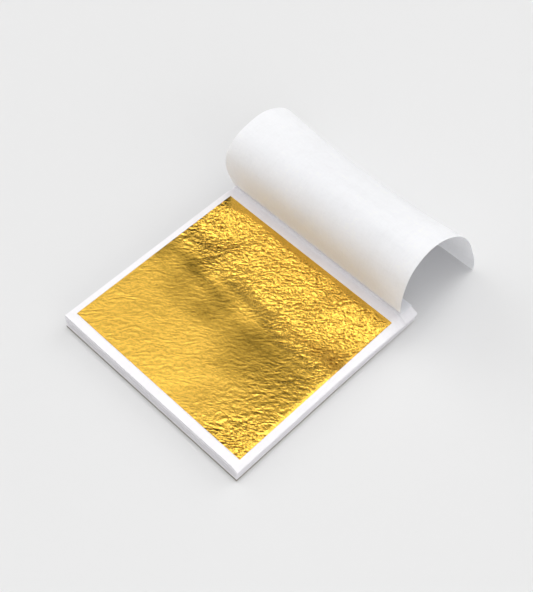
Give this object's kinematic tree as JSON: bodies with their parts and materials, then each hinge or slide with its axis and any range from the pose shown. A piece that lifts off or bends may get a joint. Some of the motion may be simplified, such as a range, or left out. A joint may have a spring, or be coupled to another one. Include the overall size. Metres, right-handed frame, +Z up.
{
  "type": "gold leaf booklet",
  "caption": "Pad of loose gold leaves between white tissue pages, glued along one edge on a grey board, with its top sheet rolled back behind the crease",
  "frame": {"origin": "centre of the back board's underside, which lies on the table", "axes": "+X along the bound edge to the right, seen from the open front edge; +Y from the open front edge to the bound back edge; +Z up"},
  "size_m": [0.09, 0.1314, 0.045],
  "materials": {
    "gold_leaf": "crinkled, burnished thin gold leaf",
    "page_paper": "matt white tissue paper",
    "top_sheet_paper": "matt white translucent tissue with faint fibres",
    "grey_board": "matt grey-brown card"
  },
  "bodies": {
    "pad_base": {"back_board": "grey_board", "bound_margins": "page_paper", "top_sheet_margin": "top_sheet_paper"},
    "page_01": {"tissue_page_01": "page_paper"},
    "page_02": {"tissue_page_02": "page_paper", "gold_leaf_02": "gold_leaf"},
    "page_03": {"tissue_page_03": "page_paper", "gold_leaf_03": "gold_leaf"},
    "page_04": {"tissue_page_04": "page_paper", "gold_leaf_04": "gold_leaf"},
    "page_05": {"tissue_page_05": "page_paper", "gold_leaf_05": "gold_leaf"},
    "page_06": {"tissue_page_06": "page_paper", "gold_leaf_06": "gold_leaf"},
    "page_07": {"tissue_page_07": "page_paper", "gold_leaf_07": "gold_leaf"},
    "page_08": {"tissue_page_08": "page_paper", "gold_leaf_08": "gold_leaf"},
    "page_09": {"tissue_page_09": "page_paper", "gold_leaf_09": "gold_leaf"},
    "page_10": {"tissue_page_10": "page_paper", "gold_leaf_10": "gold_leaf"},
    "page_11": {"tissue_page_11": "page_paper", "gold_leaf_11": "gold_leaf"},
    "page_12": {"tissue_page_12": "page_paper", "gold_leaf_12": "gold_leaf"},
    "page_13": {"tissue_page_13": "page_paper", "gold_leaf_13": "gold_leaf"},
    "page_14": {"tissue_page_14": "page_paper", "gold_leaf_14": "gold_leaf"},
    "page_15": {"tissue_page_15": "page_paper", "gold_leaf_15": "gold_leaf"},
    "page_16": {"tissue_page_16": "page_paper", "gold_leaf_16": "gold_leaf"},
    "page_17": {"tissue_page_17": "page_paper", "gold_leaf_17": "gold_leaf"},
    "page_18": {"tissue_page_18": "page_paper", "gold_leaf_18": "gold_leaf"},
    "page_19": {"tissue_page_19": "page_paper", "gold_leaf_19": "gold_leaf"},
    "page_20": {"tissue_page_20": "page_paper", "gold_leaf_20": "gold_leaf"},
    "page_21": {"tissue_page_21": "page_paper", "gold_leaf_21": "gold_leaf"},
    "page_22": {"tissue_page_22": "page_paper", "gold_leaf_22": "gold_leaf"},
    "page_23": {"tissue_page_23": "page_paper", "gold_leaf_23": "gold_leaf"},
    "page_24": {"tissue_page_24": "page_paper", "gold_leaf_24": "gold_leaf"},
    "page_25": {"tissue_page_25": "page_paper", "gold_leaf_25": "gold_leaf"},
    "leaf_01": {"gold_leaf_01": "gold_leaf"},
    "sheet_1": {"top_sheet_strip_1": "top_sheet_paper"},
    "sheet_2": {"top_sheet_strip_2": "top_sheet_paper"},
    "sheet_3": {"top_sheet_strip_3": "top_sheet_paper"},
    "sheet_4": {"top_sheet_strip_4": "top_sheet_paper"},
    "sheet_5": {"top_sheet_strip_5": "top_sheet_paper"},
    "sheet_6": {"top_sheet_strip_6": "top_sheet_paper"},
    "sheet_7": {"top_sheet_strip_7": "top_sheet_paper"}
  },
  "joints": [
    {"name": "page_fan", "type": "hinge", "parent": "pad_base", "child": "page_02", "pos_m": [0, 0.0406, 0.00692], "axis": [-1, 0, 0], "range_deg": [0, 40]},
    {"name": "page_03_fan", "type": "hinge", "parent": "pad_base", "child": "page_03", "pos_m": [0, 0.0406, 0.00666], "axis": [-1, 0, 0], "range_deg": [0, 38.38]},
    {"name": "page_04_fan", "type": "hinge", "parent": "pad_base", "child": "page_04", "pos_m": [0, 0.0406, 0.00639], "axis": [-1, 0, 0], "range_deg": [0, 36.72]},
    {"name": "page_05_fan", "type": "hinge", "parent": "pad_base", "child": "page_05", "pos_m": [0, 0.0406, 0.00613], "axis": [-1, 0, 0], "range_deg": [0, 35.05]},
    {"name": "page_06_fan", "type": "hinge", "parent": "pad_base", "child": "page_06", "pos_m": [0, 0.0406, 0.00587], "axis": [-1, 0, 0], "range_deg": [0, 33.38]},
    {"name": "page_07_fan", "type": "hinge", "parent": "pad_base", "child": "page_07", "pos_m": [0, 0.0406, 0.0056], "axis": [-1, 0, 0], "range_deg": [0, 31.72]},
    {"name": "page_08_fan", "type": "hinge", "parent": "pad_base", "child": "page_08", "pos_m": [0, 0.0406, 0.00534], "axis": [-1, 0, 0], "range_deg": [0, 30.05]},
    {"name": "page_09_fan", "type": "hinge", "parent": "pad_base", "child": "page_09", "pos_m": [0, 0.0406, 0.00507], "axis": [-1, 0, 0], "range_deg": [0, 28.38]},
    {"name": "page_10_fan", "type": "hinge", "parent": "pad_base", "child": "page_10", "pos_m": [0, 0.0406, 0.00481], "axis": [-1, 0, 0], "range_deg": [0, 26.72]},
    {"name": "page_11_fan", "type": "hinge", "parent": "pad_base", "child": "page_11", "pos_m": [0, 0.0406, 0.00455], "axis": [-1, 0, 0], "range_deg": [0, 25.05]},
    {"name": "page_12_fan", "type": "hinge", "parent": "pad_base", "child": "page_12", "pos_m": [0, 0.0406, 0.00428], "axis": [-1, 0, 0], "range_deg": [0, 23.38]},
    {"name": "page_13_fan", "type": "hinge", "parent": "pad_base", "child": "page_13", "pos_m": [0, 0.0406, 0.00402], "axis": [-1, 0, 0], "range_deg": [0, 21.72]},
    {"name": "page_14_fan", "type": "hinge", "parent": "pad_base", "child": "page_14", "pos_m": [0, 0.0406, 0.00375], "axis": [-1, 0, 0], "range_deg": [0, 20.05]},
    {"name": "page_15_fan", "type": "hinge", "parent": "pad_base", "child": "page_15", "pos_m": [0, 0.0406, 0.00349], "axis": [-1, 0, 0], "range_deg": [0, 18.38]},
    {"name": "page_16_fan", "type": "hinge", "parent": "pad_base", "child": "page_16", "pos_m": [0, 0.0406, 0.00323], "axis": [-1, 0, 0], "range_deg": [0, 16.72]},
    {"name": "page_17_fan", "type": "hinge", "parent": "pad_base", "child": "page_17", "pos_m": [0, 0.0406, 0.00296], "axis": [-1, 0, 0], "range_deg": [0, 15.05]},
    {"name": "page_18_fan", "type": "hinge", "parent": "pad_base", "child": "page_18", "pos_m": [0, 0.0406, 0.0027], "axis": [-1, 0, 0], "range_deg": [0, 13.38]},
    {"name": "page_19_fan", "type": "hinge", "parent": "pad_base", "child": "page_19", "pos_m": [0, 0.0406, 0.00243], "axis": [-1, 0, 0], "range_deg": [0, 11.72]},
    {"name": "page_20_fan", "type": "hinge", "parent": "pad_base", "child": "page_20", "pos_m": [0, 0.0406, 0.00217], "axis": [-1, 0, 0], "range_deg": [0, 10.05]},
    {"name": "page_21_fan", "type": "hinge", "parent": "pad_base", "child": "page_21", "pos_m": [0, 0.0406, 0.00191], "axis": [-1, 0, 0], "range_deg": [0, 8.38]},
    {"name": "page_22_fan", "type": "hinge", "parent": "pad_base", "child": "page_22", "pos_m": [0, 0.0406, 0.00164], "axis": [-1, 0, 0], "range_deg": [0, 6.72]},
    {"name": "page_23_fan", "type": "hinge", "parent": "pad_base", "child": "page_23", "pos_m": [0, 0.0406, 0.00138], "axis": [-1, 0, 0], "range_deg": [0, 5.05]},
    {"name": "page_24_fan", "type": "hinge", "parent": "pad_base", "child": "page_24", "pos_m": [0, 0.0406, 0.00111], "axis": [-1, 0, 0], "range_deg": [0, 3.38]},
    {"name": "page_25_fan", "type": "hinge", "parent": "pad_base", "child": "page_25", "pos_m": [0, 0.0406, 0.00085], "axis": [-1, 0, 0], "range_deg": [0, 1.72]},
    {"name": "top_page_turn", "type": "hinge", "parent": "page_02", "child": "page_01", "pos_m": [0, 0.0406, 0.00719], "axis": [-1, 0, 0], "range_deg": [0, 26]},
    {"name": "top_leaf_slide", "type": "slide", "parent": "page_01", "child": "leaf_01", "axis": [0, -1, 0], "range_m": [0, 0.0439]},
    {"name": "top_sheet_turn", "type": "hinge", "parent": "pad_base", "child": "sheet_1", "pos_m": [0, 0.0411, 0.00769], "axis": [-1, 0, 0], "range_deg": [-75, 0]},
    {"name": "top_sheet_fold_2", "type": "hinge", "parent": "sheet_1", "child": "sheet_2", "pos_m": [0, 0.03592, 0.027], "axis": [-1, 0, 0], "range_deg": [-24.05, 0]},
    {"name": "top_sheet_fold_3", "type": "hinge", "parent": "sheet_2", "child": "sheet_3", "pos_m": [0, 0.0378, 0.03886], "axis": [-1, 0, 0], "range_deg": [-47.05, 0]},
    {"name": "top_sheet_fold_4", "type": "hinge", "parent": "sheet_3", "child": "sheet_4", "pos_m": [0, 0.04692, 0.04501], "axis": [-1, 0, 0], "range_deg": [-50.05, 0]},
    {"name": "top_sheet_curl", "type": "hinge", "parent": "sheet_4", "child": "sheet_5", "pos_m": [0, 0.05846, 0.0417], "axis": [-1, 0, 0], "range_deg": [-24, 0]},
    {"name": "top_sheet_fold_6", "type": "hinge", "parent": "sheet_5", "child": "sheet_6", "pos_m": [0, 0.06918, 0.0327], "axis": [-1, 0, 0], "range_deg": [-18.05, 0]},
    {"name": "top_sheet_fold_7", "type": "hinge", "parent": "sheet_6", "child": "sheet_7", "pos_m": [0, 0.07766, 0.01913], "axis": [-1, 0, 0], "range_deg": [-14.05, 0]}
  ],
  "couplings": [
    {"joint": "page_03_fan", "follows": "page_fan", "ratio": 0.95833},
    {"joint": "page_04_fan", "follows": "page_fan", "ratio": 0.91667},
    {"joint": "page_05_fan", "follows": "page_fan", "ratio": 0.875},
    {"joint": "page_06_fan", "follows": "page_fan", "ratio": 0.83333},
    {"joint": "page_07_fan", "follows": "page_fan", "ratio": 0.79167},
    {"joint": "page_08_fan", "follows": "page_fan", "ratio": 0.75},
    {"joint": "page_09_fan", "follows": "page_fan", "ratio": 0.70833},
    {"joint": "page_10_fan", "follows": "page_fan", "ratio": 0.66667},
    {"joint": "page_11_fan", "follows": "page_fan", "ratio": 0.625},
    {"joint": "page_12_fan", "follows": "page_fan", "ratio": 0.58333},
    {"joint": "page_13_fan", "follows": "page_fan", "ratio": 0.54167},
    {"joint": "page_14_fan", "follows": "page_fan", "ratio": 0.5},
    {"joint": "page_15_fan", "follows": "page_fan", "ratio": 0.45833},
    {"joint": "page_16_fan", "follows": "page_fan", "ratio": 0.41667},
    {"joint": "page_17_fan", "follows": "page_fan", "ratio": 0.375},
    {"joint": "page_18_fan", "follows": "page_fan", "ratio": 0.33333},
    {"joint": "page_19_fan", "follows": "page_fan", "ratio": 0.29167},
    {"joint": "page_20_fan", "follows": "page_fan", "ratio": 0.25},
    {"joint": "page_21_fan", "follows": "page_fan", "ratio": 0.20833},
    {"joint": "page_22_fan", "follows": "page_fan", "ratio": 0.16667},
    {"joint": "page_23_fan", "follows": "page_fan", "ratio": 0.125},
    {"joint": "page_24_fan", "follows": "page_fan", "ratio": 0.083333},
    {"joint": "page_25_fan", "follows": "page_fan", "ratio": 0.041667},
    {"joint": "top_sheet_fold_2", "follows": "top_sheet_turn", "ratio": 0.32},
    {"joint": "top_sheet_fold_3", "follows": "top_sheet_turn", "ratio": 0.62667},
    {"joint": "top_sheet_fold_4", "follows": "top_sheet_turn", "ratio": 0.66667},
    {"joint": "top_sheet_fold_6", "follows": "top_sheet_curl", "ratio": 0.75},
    {"joint": "top_sheet_fold_7", "follows": "top_sheet_curl", "ratio": 0.58333}
  ]
}
